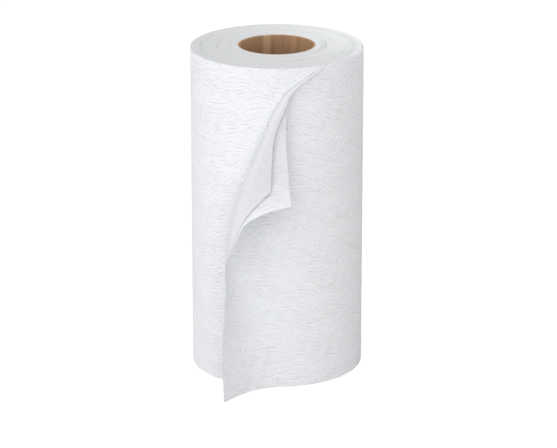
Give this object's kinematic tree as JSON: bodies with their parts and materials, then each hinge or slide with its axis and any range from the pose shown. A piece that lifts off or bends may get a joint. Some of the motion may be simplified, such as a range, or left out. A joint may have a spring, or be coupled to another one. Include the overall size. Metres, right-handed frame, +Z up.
{
  "type": "paper towel roll",
  "caption": "Wound roll of embossed two-ply kitchen paper on a cardboard tube, standing on its end, with the outer sheet loose and its corner curled back.",
  "frame": {"origin": "axis of the core at the bottom end of the roll, on the surface it stands on", "axes": "+Z up along the core, -Y to the front where the loose sheet ends, +X to the right of the front"},
  "size_m": [0.1043, 0.1295, 0.2],
  "materials": {
    "kraft_board": "matt grey-brown kraft board",
    "white_tissue": "soft white embossed tissue"
  },
  "bodies": {
    "root": {"cardboard_core": "kraft_board", "towel_web": "white_tissue"}
  },
  "joints": []
}
